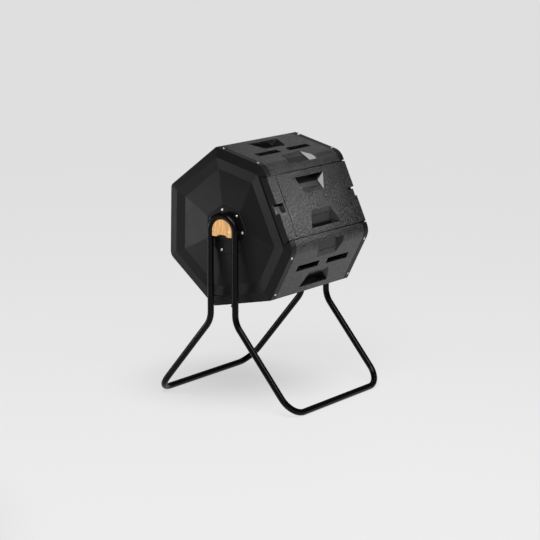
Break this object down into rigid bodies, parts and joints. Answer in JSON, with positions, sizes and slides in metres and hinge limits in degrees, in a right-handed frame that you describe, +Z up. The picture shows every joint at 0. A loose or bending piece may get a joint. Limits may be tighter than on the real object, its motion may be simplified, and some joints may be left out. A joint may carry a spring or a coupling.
{
  "type": "compost tumbler",
  "caption": "Seven-sided compost drum of moulded panels with a lift-off door, turning on stub axles in wooden blocks between two bent-tube arches on floor legs.",
  "frame": {"origin": "on the floor, under the middle of the drum and midway between the two floor rails", "axes": "+X along the drum's axle, -Y is the door side, +Z up"},
  "size_m": [0.6498, 0.6894, 1.018],
  "materials": {
    "grained_plastic": "pebble grain, matt",
    "smooth_plastic": "smooth, satin",
    "tube_paint": "gloss black powder coat on steel tube",
    "plate_paint": "satin black on steel plate",
    "wood": "oiled light hardwood",
    "zinc": "bright zinc plate",
    "axle_steel": "turned steel",
    "nylon": "plain nylon"
  },
  "bodies": {
    "stand": {"arch_left": "tube_paint", "arch_right": "tube_paint", "bearing_block_left": "wood", "bearing_block_right": "wood", "bearing_bracket_left": "plate_paint", "bearing_bracket_right": "plate_paint", "block_screw_left_1": "zinc", "block_screw_left_2": "zinc", "block_screw_right_1": "zinc", "block_screw_right_2": "zinc", "leg_front": "tube_paint", "leg_rear": "tube_paint", "leg_screw_left_1": "tube_paint", "leg_screw_left_2": "tube_paint", "leg_screw_right_1": "tube_paint", "leg_screw_right_2": "tube_paint", "tie_rod_left": "tube_paint", "tie_rod_right": "tube_paint"},
    "drum": {"axle_stub_left": "axle_steel", "axle_stub_right": "axle_steel", "end_cap_left": "smooth_plastic", "end_cap_right": "smooth_plastic", "hub_backing_left": "plate_paint", "hub_backing_right": "plate_paint", "hub_bolt_left_1": "zinc", "hub_bolt_left_2": "zinc", "hub_bolt_left_3": "zinc", "hub_bolt_left_4": "zinc", "hub_bolt_left_5": "zinc", "hub_bolt_left_6": "zinc", "hub_bolt_left_7": "zinc", "hub_bolt_right_1": "zinc", "hub_bolt_right_2": "zinc", "hub_bolt_right_3": "zinc", "hub_bolt_right_4": "zinc", "hub_bolt_right_5": "zinc", "hub_bolt_right_6": "zinc", "hub_bolt_right_7": "zinc", "hub_plate_left": "plate_paint", "hub_plate_right": "plate_paint", "panel_above_door": "grained_plastic", "panel_back": "grained_plastic", "panel_below_door": "grained_plastic", "panel_bottom_front": "grained_plastic", "panel_bottom_rear": "grained_plastic", "panel_top_rear": "grained_plastic", "thrust_washer_left": "nylon", "thrust_washer_right": "nylon"},
    "door": {"door": "grained_plastic"}
  },
  "joints": [
    {"name": "drum_spin", "type": "hinge", "parent": "stand", "child": "drum", "pos_m": [0, 0, 0.7], "axis": [1, 0, 0], "continuous": true},
    {"name": "door_lift", "type": "slide", "parent": "drum", "child": "door", "axis": [0, -0.9114, 0.4115], "range_m": [0, 0.28]}
  ]
}
